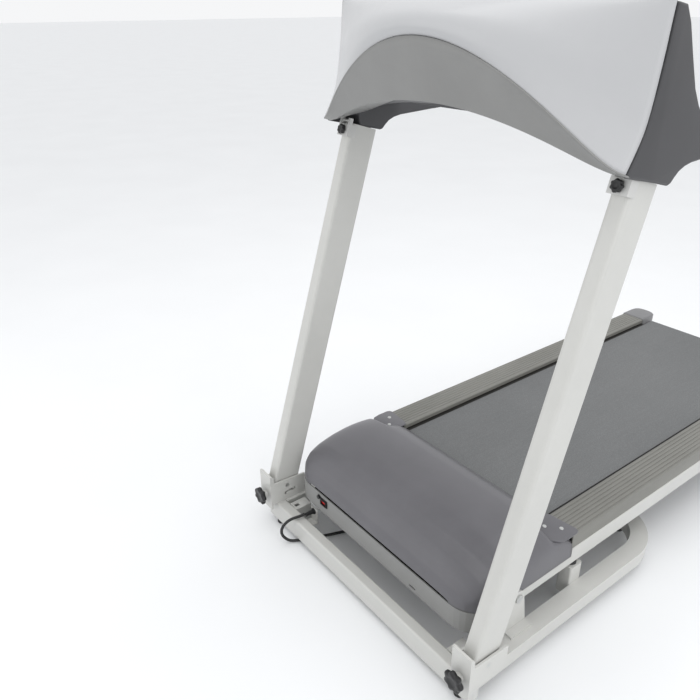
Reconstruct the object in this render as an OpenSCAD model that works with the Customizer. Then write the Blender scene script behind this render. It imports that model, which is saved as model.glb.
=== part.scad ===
// Motorised folding treadmill.
// +Z is up, the motor end faces -Y, the origin is on the floor under the middle of the machine.
// Positions along Y in the modules are measured from the rear edge of the motor hood.

/* [Running deck] */
// Width of the running belt
belt_w = 480; // [400:5:490]
// Height of the running surface above the floor
belt_z = 210; // [208:1:214]
// Distance from the hood's rear edge to the rear end of the belt
belt_run = 1290; // [1100:10:1500]
// Overall half width of the deck at the side rails
deck_half = 333; // [333:1:335]
// Width of each side rail
rail_w = 80; // [60:1:85]
// Length of the motor hood
hood_len = 325; // [320:1:326]
// Height of the hood's crest above the running surface
hood_rise = 62; // [60:1:80]

/* [Uprights] */
// Lean of the uprights from vertical, in degrees
lean = 16.6; // [14:0.1:18]
// Distance between the centres of the uprights, halved
upright_x = 374; // [374:0.5:376]
// Width of an upright along X
upright_w = 36; // [30:1:36]
// Depth of an upright, square to its axis
upright_d = 80; // [70:1:80]
// Length of an upright from its lower pivot to its top
upright_len = 975; // [900:1:1000]

/* [Base frame] */
// Height of the top of the base frame
base_top = 70; // [66:1:70]
// Width of the side tubes
side_tube_w = 44; // [40:1:44]
// Depth of the front tube along Y
front_tube_d = 30; // [26:1:30]
// Outer radius of the rear corners
corner_r = 150; // [120:5:200]

/* [Mains lead] */
// Diameter of the mains lead
lead_d = 8; // [7:0.5:8]

/* [Motion] */

/* [Hidden] */

$fn = 48;
gap = 0.05;

// Y of the hood's rear edge, so that the machine's box is centred on Y = 0
knob_front = -422;
deck_rear = belt_run + 20;
hood_y = -(knob_front + deck_rear) / 2;

// Deck levels
board_t = 18;
belt_t = 2;
board_top = belt_z - belt_t;
roller_r = 24;
roller_z = board_top - roller_r;
front_roller_y = -50;
rear_roller_y = belt_run - roller_r - belt_t;
tube_top = belt_z - 30;
tube_h = 50;
tube_w = 30;
tube_x = 319;
rail_top = belt_z + 15;

// Deck fold pivot
fold_y = -190;
fold_z = belt_z - 55;
fold_bolt_r = 8;

// Upright pivot
mast_y = -343;
mast_z = 116;
pin_r = 6;

// Base frame
base_bottom = 12;
side_h = 40;
side_x_out = 383;
front_tube_y = -350;
rear_y = 382;

// Gas strut, from its lower pin to its upper pin
strut_low = [-135, 55];
strut_high = [185, 112];
strut_len = norm(strut_high - strut_low);
strut_tilt = atan2(strut_high[1] - strut_low[1], strut_high[0] - strut_low[0]);

// Motor and drive
motor_y = -200;
motor_z = 190;
pulley_x = -273;
drive_r = 18;
driven_r = 34;

// Console hinge, in the upright's own frame
hinge_back = -45;
hinge_up = upright_len + 4;

// Console panel, a plane tilted towards the runner
panel_low = [45, 1105];
panel_high = [-85, 1335];
panel_tilt = atan2(panel_high[1] - panel_low[1], panel_high[0] - panel_low[0]);

function arc_pts(cx, cy, r, a0, a1, n = 5) =
    [for (i = [0:n]) let (a = a0 + (a1 - a0) * i / n) [cx + r * cos(a), cy + r * sin(a)]];

function round_rect(w, h, r, n = 4) = concat(
    arc_pts(w / 2 - r, h / 2 - r, r, 0, 90, n),
    arc_pts(-w / 2 + r, h / 2 - r, r, 90, 180, n),
    arc_pts(-w / 2 + r, -h / 2 + r, r, 180, 270, n),
    arc_pts(w / 2 - r, -h / 2 + r, r, 270, 360, n));

// Box from two opposite corners
module span(lo, hi) {
    translate(lo) cube(hi - lo);
}

// Hollow rectangular tube along X, centred
module tube_along_x(len, dy, dz, r, wall) {
    rotate([90, 0, 90]) linear_extrude(len, center = true) difference() {
        polygon(round_rect(dy, dz, r));
        polygon(round_rect(dy - 2 * wall, dz - 2 * wall, max(r - wall, 0.6)));
    }
}

// Hollow rectangular tube along Y, centred
module tube_along_y(len, dx, dz, r, wall) {
    rotate([90, 0, 0]) linear_extrude(len, center = true) difference() {
        polygon(round_rect(dx, dz, r));
        polygon(round_rect(dx - 2 * wall, dz - 2 * wall, max(r - wall, 0.6)));
    }
}

module rod_x(len, r) {
    rotate([0, 90, 0]) cylinder(h = len, r = r, center = true);
}

module rod_y(len, r) {
    rotate([90, 0, 0]) cylinder(h = len, r = r, center = true);
}

// Moves parts drawn from the hood's rear edge into the machine's frame
module at_hood() {
    translate([0, hood_y, 0]) children();
}

// The frame of the uprights: origin on the lower pivot, +Z along the upright
module on_mast() {
    at_hood() translate([0, mast_y, mast_z]) rotate([-lean, 0, 0]) children();
}

// The frame of the console panel: origin on its lower edge, -Y up the panel, +Z out of it
module on_panel() {
    at_hood() translate([0, panel_low[0], panel_low[1]]) rotate([panel_tilt + 180, 0, 0]) children();
}

// Solid swept through rings of points, all with the same count
module loft(rings) {
    n = len(rings[0]);
    m = len(rings);
    pts = [for (ring = rings) for (p = ring) p];
    sides = [for (i = [0:m - 2]) for (j = [0:n - 1]) let (k = (j + 1) % n)
        each [[i * n + j, (i + 1) * n + j, (i + 1) * n + k], [i * n + j, (i + 1) * n + k, i * n + k]]];
    caps = [[for (j = [0:n - 1]) j], [for (j = [n - 1:-1:0]) (m - 1) * n + j]];
    polyhedron(points = pts, faces = concat(sides, caps), convexity = 6);
}

// ---------------------------------------------------------------- base frame

module front_tube() {
    color("gainsboro") at_hood()
        translate([0, front_tube_y - front_tube_d / 2, (base_top + base_bottom) / 2])
            tube_along_x(2 * side_x_out - 2, front_tube_d, base_top - base_bottom, 5, 2);
}

// Two side tubes joined behind by a bent rear tube, drawn as one ring section
module base_loop() {
    inner_r = corner_r - side_tube_w;
    cx = side_x_out - corner_r;
    cy = rear_y - corner_r;
    outer = concat([[side_x_out, front_tube_y]], arc_pts(cx, cy, corner_r, 0, 90, 14),
        arc_pts(-cx, cy, corner_r, 90, 180, 14), [[-side_x_out, front_tube_y]]);
    inner = concat([[-side_x_out + side_tube_w, front_tube_y]],
        arc_pts(-cx, cy, inner_r, 180, 90, 10), arc_pts(cx, cy, inner_r, 90, 0, 10),
        [[side_x_out - side_tube_w, front_tube_y]]);
    color("gainsboro") at_hood() translate([0, 0, base_top - side_h])
        linear_extrude(side_h) polygon(concat(outer, inner));
}

module tube_end_caps() {
    color("whitesmoke") at_hood() for (s = [-1, 1])
        translate([s * (side_x_out + 1.5), front_tube_y - front_tube_d / 2, (base_top + base_bottom) / 2])
            rotate([90, 0, 90]) linear_extrude(5, center = true)
                polygon(round_rect(front_tube_d, base_top - base_bottom, 5));
}

module rubber_pads() {
    color("black") at_hood() {
        for (s = [-1, 1]) {
            translate([s * 350, front_tube_y - front_tube_d / 2, 0]) cylinder(h = base_bottom, r = 13);
            translate([s * 250, rear_y - 24, 0]) cylinder(h = base_top - side_h, r = 16);
            translate([s * 321, 29, 120]) cylinder(h = tube_top - tube_h - 120.4, r = 13);
            translate([s * tube_x, 1190, 0]) cylinder(h = 24, r = 19);
        }
    }
}

// U-shaped brackets that hold the uprights' lower ends
module upright_brackets() {
    x_in = upright_w / 2 + 3;
    plate = 5;
    color("gainsboro") at_hood() for (s = [-1, 1]) translate([s * upright_x, 0, 0]) {
        difference() {
            union() {
                span([-x_in - plate, -397, base_top], [x_in + plate, -285, base_top + 5]);
                for (t = [-1, 1]) translate([t * (x_in + plate / 2), 0, 0])
                    rotate([90, 0, 90]) linear_extrude(plate, center = true)
                        polygon([[-397, base_top], [-285, base_top], [-285, 132], [-384, 137],
                            [-386, 158], [-397, 165]]);
                span([-x_in - plate, -397, base_top - 14], [x_in + plate, -391, 164]);
                translate([0, -402, 98]) rod_y(10, 10);
            }
            translate([0, -400, 98]) rod_y(40, 5 + gap);
            translate([0, mast_y, mast_z]) rod_x(90, pin_r);
            hook_slot(-s * (x_in + plate / 2), plate + 2);
        }
    }
}

// S-shaped slot in the inner plate
module hook_slot(x, depth) {
    translate([x, -336, 96]) rotate([90, 0, 90]) linear_extrude(depth, center = true)
        polygon([[-17, -9], [-12, -9], [-12, -3], [2, -1], [8, -4], [17, -4], [17, 5], [12, 5],
            [12, 0], [7, 4], [-1, 4], [-17, 1]]);
}

module upright_pivot_pins() {
    color("silver") at_hood() for (s = [-1, 1])
        translate([s * upright_x, mast_y, mast_z]) rod_x(upright_w + 16, pin_r);
}

// Channels behind the front tube that carry the transport wheels
module wheel_housings() {
    color("gainsboro") at_hood() for (s = [-1, 1]) translate([s * 308.5, 0, 0]) difference() {
        union() {
            span([-16.5, -350, base_top - 4], [16.5, -303, base_top]);
            for (t = [-1, 1]) span([t * 14.5 - 2, -350, 18], [t * 14.5 + 2, -303, base_top - 4]);
        }
        span([-6, -346, base_top - 5], [5, -332, base_top + 1]);
        translate([0, -327, 38]) rod_x(40, 4);
    }
}

module wheel_axles() {
    color("dimgray") at_hood() for (s = [-1, 1]) translate([s * 308.5, -327, 38]) {
        rod_x(33, 4);
        for (t = [-1, 1]) translate([t * 18, 0, 0]) rod_x(3, 7);
    }
}

module transport_wheel(s) {
    color("black") at_hood() translate([s * 308.5, -327, 38]) difference() {
        union() {
            rod_x(20, 17);
            rod_x(16, 20);
        }
        rod_x(30, 4 + gap);
    }
}

module transport_wheel_left() {
    transport_wheel(-1);
}

module transport_wheel_right() {
    transport_wheel(1);
}

// Upright plates welded inside the side tubes, which carry the deck's fold pivot
module deck_pivot_plates() {
    color("gainsboro") at_hood() for (s = [-1, 1]) difference() {
        union() {
            translate([s * 340, 0, 0]) rotate([90, 0, 90]) linear_extrude(5, center = true)
                polygon(concat([[fold_y - 34, base_top], [fold_y + 34, base_top]],
                    arc_pts(fold_y, fold_z, 19, 10, 170, 8)));
            span([s * 350 - 12.5, fold_y - 34, base_top], [s * 350 + 12.5, fold_y + 34, base_top + 5]);
        }
        translate([s * 340, fold_y, fold_z]) rod_x(20, fold_bolt_r);
    }
}

module deck_pivot_bolts() {
    color("silver") at_hood() for (s = [-1, 1]) translate([s * 322, fold_y, fold_z]) {
        rod_x(41, fold_bolt_r);
        translate([s * 22.5, 0, 0]) rotate([0, 90, 0]) cylinder(h = 4, r = 11, center = true, $fn = 6);
    }
}

// Posts that the folded-down deck rests on
module rest_posts() {
    color("gainsboro") at_hood() for (s = [-1, 1]) translate([s * 321, 29, 77])
        linear_extrude(86, center = true) polygon(round_rect(36, 42, 5));
}

module strut_crossbar() {
    color("gainsboro") at_hood() {
        translate([0, strut_low[0] - 4, 32])
            tube_along_x(2 * (side_x_out - side_tube_w), 30, 24, 4, 2);
        difference() {
            for (s = [-1, 1]) translate([s * 15, 0, 0]) rotate([90, 0, 90])
                linear_extrude(4, center = true)
                    polygon(concat([[strut_low[0] - 16, 43], [strut_low[0] + 11, 43]],
                        arc_pts(strut_low[0], strut_low[1], 11, 0, 180, 8)));
            translate([0, strut_low[0], strut_low[1]]) rod_x(60, 4);
        }
        translate([0, strut_low[0], strut_low[1]]) rod_x(42, 4);
    }
}

// The frame of the gas strut: origin on its lower pin, +X along it
module on_strut() {
    at_hood() translate([0, strut_low[0], strut_low[1]]) rotate([90, 0, 90])
        rotate([0, 0, strut_tilt]) children();
}

module strut_cylinder() {
    color("black") on_strut() difference() {
        union() {
            cylinder(h = 20, r = 9, center = true);
            translate([6, 0, 0]) rotate([0, 90, 0]) cylinder(h = 10, r = 5);
            translate([14, 0, 0]) rotate([0, 90, 0]) cylinder(h = 186, r = 10);
        }
        cylinder(h = 30, r = 4 + gap, center = true);
        translate([60, 0, 0]) rotate([0, 90, 0]) cylinder(h = 150, r = 4 + gap);
    }
}

module strut_rod() {
    color("silver") on_strut() {
        translate([64, 0, 0]) rotate([0, 90, 0]) cylinder(h = strut_len - 70, r = 4);
        translate([strut_len, 0, 0]) cylinder(h = 18, r = 9, center = true);
    }
}

// ---------------------------------------------------------------- mains lead

// Centre of the lead where it leaves the machine
gland = [-248, -322, 80];
// Lead from the strain relief over the front tube, down to the floor and back under the machine
lead_route = [[-252, -352, 80], [-254, -362, 79], [-257, -374, 78], [-261, -388, 76],
    [-265, -400, 70], [-268, -411, 59], [-270, -416, 45], [-269, -415, 31], [-266, -408, 18],
    [-260, -397, 8], [-252, -380, 5], [-243, -360, 4], [-232, -335, 4], [-218, -300, 4],
    [-202, -255, 4], [-188, -200, 4], [-178, -140, 4], [-174, -80, 4], [-178, -20, 4],
    [-188, 30, 4], [-196, 60, 4]];
// Storage coil on the floor
coil_at = [-150, 60];
coil_mid_r = 44;
coil_layers = 2;

function unit(v) = v / norm(v);
function ring_at(p, d, r, n) = let (a = unit(cross(d, [0, 0, 1])), b = cross(d, a))
    [for (i = [0:n - 1]) p + r * cos(360 * i / n) * a + r * sin(360 * i / n) * b];
function heading(pts, i) = unit(pts[min(i + 1, len(pts) - 1)] - pts[max(i - 1, 0)]);

module gland_plate() {
    color("gainsboro") at_hood() difference() {
        union() {
            span([gland[0] - 14, gland[1] - 1.5, 44], [gland[0] + 14, gland[1] + 1.5, 90]);
            span([gland[0] - 14, front_tube_y, 44], [gland[0] + 14, gland[1] + 1.5, 48]);
        }
        translate(gland) rod_y(10, 6);
    }
}

module strain_relief() {
    color("black") at_hood() translate(gland) {
        rod_y(6, 6);
        rotate([90, 0, 0]) translate([0, 0, 2]) cylinder(h = 3, r = 9);
        rotate([90, 0, 0]) translate([0, 0, 5]) cylinder(h = 24, r1 = 6.4, r2 = 4.8);
    }
}

module mains_lead() {
    color("black") at_hood()
        loft([for (i = [0:len(lead_route) - 1]) ring_at(lead_route[i], heading(lead_route, i), lead_d / 2, 8)]);
}

module lead_coil() {
    color("black") at_hood() translate([coil_at[0], coil_at[1], 0])
        rotate_extrude() translate([coil_mid_r - 1.5 * lead_d, 0]) square([3 * lead_d, coil_layers * lead_d]);
}

module mains_plug() {
    color("black") at_hood() translate([coil_at[0] + 80, coil_at[1] + 10, 0]) {
        translate([0, 0, 13]) rotate([90, 0, 0]) linear_extrude(38, center = true)
            polygon(round_rect(38, 26, 8));
        for (s = [-1, 1]) translate([s * 9.5, -28, 13]) rod_y(20, 2.4);
    }
}

// ---------------------------------------------------------------- running deck

module deck_side_tubes() {
    color("gainsboro") at_hood() for (s = [-1, 1]) difference() {
        translate([s * tube_x, (-240 + belt_run) / 2, tube_top - tube_h / 2])
            tube_along_y(belt_run + 240, tube_w, tube_h, 5, 2.5);
        translate([s * tube_x, fold_y, fold_z]) rod_x(60, fold_bolt_r + gap);
    }
}

module deck_crossbars() {
    inner = 2 * (tube_x - tube_w / 2);
    color("gainsboro") at_hood() {
        for (y = [60, 480, 880, 1190]) translate([0, y, 173]) tube_along_x(inner, 34, 18, 3, 2);
        translate([0, strut_high[0], 140]) tube_along_x(inner, 36, 20, 3, 2);
        for (s = [-1, 1]) translate([s * 13, 0, 0]) rotate([90, 0, 90]) linear_extrude(4, center = true)
            polygon(concat([[strut_high[0] + 15, 130], [strut_high[0] - 15, 130]],
                arc_pts(strut_high[0], strut_high[1], 10, 180, 360, 8)));
    }
}

module deck_board() {
    color("saddlebrown") at_hood()
        span([-290, 0, board_top - board_t], [290, 1216, board_top]);
}

module deck_cushions() {
    color("black") at_hood() for (y = [60, 480, 880, 1190]) for (s = [-1, 1])
        translate([s * 270, y, 182]) cylinder(h = board_top - board_t - 182, r = 14);
}

module running_belt() {
    color("dimgray") at_hood() rotate([90, 0, 90]) linear_extrude(belt_w, center = true) difference() {
        polygon(concat(arc_pts(rear_roller_y, roller_z, roller_r + belt_t, -90, 90, 12),
            arc_pts(front_roller_y, roller_z, roller_r + belt_t, 90, 270, 12)));
        polygon(concat(arc_pts(rear_roller_y, roller_z, roller_r + 0.4, -90, 90, 12),
            arc_pts(front_roller_y, roller_z, roller_r + 0.4, 90, 270, 12)));
    }
}

module roller(y) {
    translate([0, y, roller_z]) difference() {
        rod_x(500, roller_r);
        rod_x(520, fold_bolt_r + gap);
    }
}

module front_roller() {
    color("silver") at_hood() {
        roller(front_roller_y);
        translate([pulley_x, front_roller_y, roller_z]) difference() {
            union() {
                rod_x(22, driven_r);
                translate([17, 0, 0]) rod_x(14, 20);
            }
            rod_x(60, fold_bolt_r + gap);
        }
    }
}

module rear_roller() {
    color("silver") at_hood() roller(rear_roller_y);
}

module roller_axles() {
    color("silver") at_hood() for (y = [front_roller_y, rear_roller_y])
        translate([0, y, roller_z]) rod_x(2 * (tube_x - tube_w / 2), fold_bolt_r);
}

// Ribbed aluminium step beside the belt
module side_rail(s) {
    ribs = 7;
    x0 = deck_half - rail_w;
    pitch = (rail_w - 8) / ribs;
    top = [for (i = [0:ribs - 1]) each [[x0 + 4 + i * pitch, rail_top], [x0 + 4 + (i + 0.6) * pitch, rail_top],
        [x0 + 4 + (i + 0.7) * pitch, rail_top - 1.5], [x0 + 4 + (i + 0.9) * pitch, rail_top - 1.5]]];
    profile = concat([[x0, board_top + 3], [x0, rail_top - 3]], top,
        [[deck_half - 3, rail_top], [deck_half, rail_top - 3], [deck_half, tube_top + 1],
        [deck_half - 3, tube_top + 1], [deck_half - 3, rail_top - 5], [x0 + 3, rail_top - 5],
        [x0 + 3, board_top + 3]]);
    color("dimgray") at_hood() mirror([s < 0 ? 1 : 0, 0, 0])
        translate([0, 1218, 0]) rotate([90, 0, 0]) linear_extrude(1218 - 2) polygon(profile);
}

module side_rail_left() {
    side_rail(-1);
}

module side_rail_right() {
    side_rail(1);
}

// Moulded cap over the rear end of a side rail
module rear_cap(s) {
    x0 = deck_half - rail_w - 1;
    x1 = deck_half + 2;
    y1 = deck_rear;
    color("gray") at_hood() mirror([s < 0 ? 1 : 0, 0, 0]) difference() {
        union() {
            translate([0, 0, tube_top + 1]) linear_extrude(rail_top + 4 - tube_top - 1)
                polygon(concat([[x1, 1219]], arc_pts(x1 - 26, y1 - 26, 26, 0, 90, 7),
                    arc_pts(x0 + 20, y1 - 20, 20, 90, 180, 6), [[x0, 1219]]));
            span([tube_x - 15, belt_run + 1, 134], [x1 - 14, y1 - 2, tube_top + 2]);
        }
        span([x0 + 3, 1218, tube_top], [x1 - 3, belt_run - 4, rail_top + 1]);
        span([tube_x - 30, 1218, tube_top - 2], [x1 - 20, belt_run + 0.5, tube_top + 12]);
        span([x0 - 1, 1218, tube_top - 2], [x0 + 4, belt_run - 4, 196]);
    }
}

module rear_cap_left() {
    rear_cap(-1);
}

module rear_cap_right() {
    rear_cap(1);
}

module rear_legs() {
    color("gainsboro") at_hood() for (s = [-1, 1]) translate([s * tube_x, 1190, 77])
        linear_extrude(106, center = true) difference() {
            polygon(round_rect(28, 40, 5));
            polygon(round_rect(23, 35, 3));
        }
}

// ---------------------------------------------------------------- motor end

// Stations of the hood: distance in front of the belt, half width, height of the crest
hood_stations = [[0, 337, 12], [-12, 337, 20], [-40, 337, 42], [-80, 337, 56], [-140, 337, 62],
    [-200, 336, 56], [-250, 334, 42], [-280, 329, 27], [-300, 318, 10], [-315, 300, -8],
    [-322, 282, -24], [-325, 262, -42]];
hood_low = belt_z - 48;
hood_n = 20;

function super(c, e) = sign(c) * pow(abs(c), e);
function hood_ring(st, inset) = let (h = (belt_z + st[2] - inset - hood_low) * hood_rise / 62)
    [for (i = [0:hood_n]) let (a = 180 * i / hood_n)
        [(st[1] - inset) * super(cos(a), 0.36), st[0], hood_low + h * super(sin(a), 0.36)]];
function hood_inner(st) = [for (p = hood_ring(st, 3)) [p[0], p[1], p[2] < hood_low + 1 ? hood_low - 2 : p[2]]];

module motor_hood() {
    n = len(hood_stations);
    color("slategray") at_hood() {
        difference() {
            loft([for (st = hood_stations) hood_ring(st, 0)]);
            loft(concat([[for (p = hood_inner(hood_stations[0])) [p[0], 5, p[2]]]],
                [for (i = [1:n - 3]) hood_inner(hood_stations[i])]));
            for (s = [-1, 1]) span([s * 320 - 40, fold_y - 60, hood_low - 10], [s * 320 + 40, 6, tube_top + 1]);
        }
        // Flat tabs that are screwed down over the front ends of the side rails
        for (s = [-1, 1]) mirror([s < 0 ? 1 : 0, 0, 0]) translate([0, 0, rail_top + 0.5]) linear_extrude(3.5)
            polygon(concat([[250, -50], [300, -64], [337, -50]], arc_pts(331, 12, 6, 0, 90, 4), [[256, 9],
                [250, 2]]));
    }
}

module hood_screws() {
    color("dimgray") at_hood() for (s = [-1, 1]) for (p = [[277, -28], [306, -9]])
        translate([s * p[0], p[1], rail_top + 4]) cylinder(h = 2, r = 5);
}

// Outline of the deck's front end, seen from above
function nose(inset) = let (x = 336 - inset, r = 70 - inset, y = -hood_len + inset)
    concat([[x, -252]], arc_pts(x - r, y + r, r, 0, -90, 8), arc_pts(-x + r, y + r, r, -90, -180, 8),
        [[-x, -252]]);
function nose_strip(t) = let (a = nose(0), b = nose(t)) concat(a, [for (i = [len(b) - 1:-1:0]) b[i]]);

module front_cover() {
    color("silver") at_hood() difference() {
        translate([0, 0, 105]) linear_extrude(hood_low - 1 - 105) polygon(nose_strip(3));
        translate([-196, -hood_len, 141]) cube([24, 12, 17], center = true);
        translate([-218, -hood_len, 148]) rod_y(12, 7);
        translate([150, -hood_len, 118]) cube([20, 12, 5], center = true);
    }
}

module belly_pan() {
    color("black") at_hood() union() {
        span([-300, -300, 105.5], [300, -30, 108.5]);
        for (s = [-1, 1]) span([s * 298.5 - 1.5, -250, 107], [s * 298.5 + 1.5, -30, 134]);
        span([-250, -302, 107], [250, -299, 134]);
    }
}

module switch_bezel() {
    color("black") at_hood() translate([-196, -hood_len, 141]) difference() {
        union() {
            cube([24, 10, 17], center = true);
            translate([0, -1.5, 0]) cube([28, 2, 21], center = true);
        }
        cube([20, 14, 13], center = true);
        translate([0, 4, 0]) rod_x(40, 1.2 + gap);
    }
}

module power_rocker() {
    color("red") at_hood() translate([-196, -hood_len + 4, 141]) {
        rotate([90, 0, 90]) linear_extrude(19, center = true)
            polygon([[2, -4], [2, 4], [-5, 5.6], [-7, 3.5], [-5.4, 0], [-5, -4.6], [-3.6, -5.6]]);
        rod_x(22, 1.2);
    }
}

module reset_button() {
    color("black") at_hood() translate([-218, -hood_len + 1, 148]) {
        rod_y(10, 4.5);
        translate([0, -5, 0]) rod_y(2, 5.5);
    }
}

module drive_motor() {
    color("dimgray") at_hood() translate([-70, motor_y, motor_z]) {
        difference() {
            union() {
                rod_x(190, 46);
                span([-70, -34, -81.5], [70, 34, -40]);
            }
            translate([-80, 0, 0]) rod_x(60, 8 + gap);
        }
    }
}

module motor_flywheel() {
    color("silver") at_hood() translate([0, motor_y, motor_z]) {
        translate([-217, 0, 0]) rod_x(134, 8);
        translate([-205, 0, 0]) rod_x(24, 50);
        translate([pulley_x, 0, 0]) rod_x(22, drive_r);
    }
}

module belt_outline(extra) {
    hull() {
        translate([motor_y, motor_z]) circle(r = drive_r + extra, $fn = 32);
        translate([front_roller_y, roller_z]) circle(r = driven_r + extra, $fn = 32);
    }
}

module drive_belt() {
    color("black") at_hood() translate([pulley_x, 0, 0]) rotate([90, 0, 90])
        linear_extrude(18, center = true) difference() {
            belt_outline(3.4);
            belt_outline(0.4);
        }
}

module motor_controller() {
    color("silver") at_hood() {
        span([90, -285, 109], [250, -195, 113]);
        for (i = [0:9]) span([94 + i * 6, -283, 113], [96 + i * 6, -197, 150]);
        span([160, -283, 113], [248, -197, 146]);
    }
}

// ---------------------------------------------------------------- uprights

module upright(s) {
    color("gainsboro") on_mast() translate([s * upright_x, 0, 0]) difference() {
        union() {
            linear_extrude(upright_len) polygon(round_rect(upright_w, upright_d, 8));
            rod_x(upright_w - 4, upright_d / 2 - 0.7);
        }
        translate([0, 0, 60]) linear_extrude(upright_len - 64)
            polygon(round_rect(upright_w - 5, upright_d - 5, 6));
        rod_x(90, pin_r + gap);
    }
}

module upright_left() {
    upright(-1);
}

module upright_right() {
    upright(1);
}

// Blocks on the front of the uprights' tops, with the console's hinge pins
module console_hinge_blocks() {
    half = upright_d / 2;
    front = half + 10;
    color("whitesmoke") on_mast() for (s = [-1, 1]) translate([s * upright_x, 0, 0]) {
        difference() {
            union() {
                span([-19.5, -front, upright_len - 32], [19.5, -half - 0.2, upright_len - 4]);
                for (t = [-1, 1])
                    span([t * 16 - 3, -front, upright_len - 5], [t * 16 + 3, -half, hinge_up + 6]);
                // Cheeks that wrap the upright's sides
                for (t = [-1, 1])
                    span([t * 19 - 0.6, -front, upright_len - 32], [t * 19 + 0.6, -half + 14, upright_len - 4]);
            }
            translate([0, -front, upright_len - 18]) rod_y(24, 4 + gap);
        }
        translate([0, hinge_back, hinge_up]) rod_x(38, 3);
    }
}

// Lobed hand knob on a screw, its axis along Y and its grip towards -Y
module hand_knob(grip_r, lobe_r, depth, screw, screw_r) {
    rotate([90, 0, 0]) {
        cylinder(h = depth, r = grip_r);
        for (i = [0:6]) rotate([0, 0, 360 / 7 * i]) translate([grip_r - 1, 0, 0])
            cylinder(h = depth - 1, r = lobe_r, $fn = 24);
        translate([0, 0, -screw]) cylinder(h = screw + 1, r = screw_r);
    }
}

module lower_knob(s) {
    color("black") at_hood() translate([s * upright_x, -408, 98]) hand_knob(19, 7.5, 14, 15, 5);
}

module lower_knob_left() {
    lower_knob(-1);
}

module lower_knob_right() {
    lower_knob(1);
}

module upper_knob(s) {
    color("black") on_mast() translate([s * upright_x, -upright_d / 2 - 10.5, upright_len - 18])
        hand_knob(9.5, 3.4, 10, 9, 4);
}

module upper_knob_left() {
    upper_knob(-1);
}

module upper_knob_right() {
    upper_knob(1);
}

// ---------------------------------------------------------------- console

console_half = 390;
panel_half = 340;
arm_w = 52;
arm_x = 379;
// Side view of an arm's front edge, from its foot up to its top
arm_front = [[-121, 1063.5], [-106, 1115], [-94, 1155], [-84, 1220], [-72, 1312]];

// Height of the console's lower edge, and of the crease above it, at x
function lip_z(q) = 1152 - 98 * q + 17 * pow(q, 6);
function crease_z(q) = lip_z(q) + 4 + 110 * pow(max(1 - q, 0), 1.2);
function fascia_z(q, t) = crease_z(q) + (1334 - crease_z(q)) * t;

// Cross-section of the console at x, drawn from the lip round through the back
function console_ring(x, scale_to = 1) = let (q = pow(x / console_half, 2), c = [-90, 1215])
    [for (p = [[-197 + 58 * q, lip_z(q)], [-60, (lip_z(q) + 1105) / 2 - 8], [45, 1105], [-85, 1335],
        [-120 + 28 * q, 1334 - 6 * q], [-185 + 77 * q, fascia_z(q, 0.9)], [-232 + 107 * q, fascia_z(q, 0.6)],
        [-246 + 106 * q, fascia_z(q, 0.25)], [-238 + 94 * q, crease_z(q)]])
        let (r = c + scale_to * (p - c)) [x, r[0], r[1]]];

module console_shell() {
    color("lightgray") at_hood() difference() {
        loft([for (i = [-13:13]) console_ring(i * console_half / 13)]);
        loft([for (i = [-8:8]) console_ring(i * 42.1, 0.94)]);
        for (s = [-1, 1]) translate([s * (arm_x + 24), 0, 0]) rotate([90, 0, 90])
            linear_extrude(arm_w + 50, center = true)
                polygon(concat([for (p = arm_front) [p[0] - 1.5, p[1]]], [[-73.5, 1360], [200, 1360],
                    [200, 1000], [-118, 1000], [-118, 1063]]));
        translate([0, -hood_y, 0]) on_panel() span([-panel_half, -256, -20], [panel_half, -6, 12]);
    }
}

module console_panel() {
    color("dimgray") on_panel() difference() {
        span([-panel_half, -256, -8], [panel_half, -6, 0]);
        for (s = [-1, 1]) translate([s * 60, -60, 0]) cylinder(h = 30, r = 15.5, center = true);
        translate([0, -60, 0]) cylinder(h = 30, r = 9.3, center = true);
    }
}

// Moulded arm that covers an upright's top and runs back as a handrail
module side_arm(s) {
    color("dimgray") at_hood() difference() {
        translate([s * arm_x, 0, 0]) rotate([90, 0, 90]) linear_extrude(arm_w, center = true)
            polygon(concat([[-121, 1063], [-12, 1035], [-2, 1047], [14, 1058], [36, 1065], [62, 1068],
                [100, 1069], [320, 1081]], arc_pts(330, 1102, 20, -75, 75, 6), [[300, 1123], [120, 1122],
                [60, 1138], [10, 1188], [-40, 1285]], [for (i = [len(arm_front) - 1:-1:1]) arm_front[i]]));
        translate([0, -hood_y, 0]) on_mast() translate([s * upright_x, 0, upright_len]) {
            span([-22, -62, -40], [22, -36.5, 12]);
            span([-22, -62, -40], [22, 70, 0.8]);
        }
    }
    color("dimgray") on_mast() translate([s * upright_x, hinge_back, hinge_up]) difference() {
        union() {
            rod_x(22, 5.5);
            span([-11, -3, 3], [11, 6, 9.5]);
        }
        rod_x(60, 3 + gap);
    }
}

module side_arm_left() {
    side_arm(-1);
}

module side_arm_right() {
    side_arm(1);
}

module panel_button(x, tint) {
    color(tint) on_panel() translate([x, -60, -5]) {
        cylinder(h = 10, r = 15);
        translate([0, 0, -6]) cylinder(h = 7, r = 6);
    }
}

module start_button() {
    panel_button(60, "green");
}

module stop_button() {
    panel_button(-60, "red");
}

module safety_key() {
    color("red") on_panel() translate([0, -60, -6]) {
        cylinder(h = 10, r = 9);
        translate([0, 0, 10]) linear_extrude(8) polygon(round_rect(10, 26, 4));
    }
}

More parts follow.
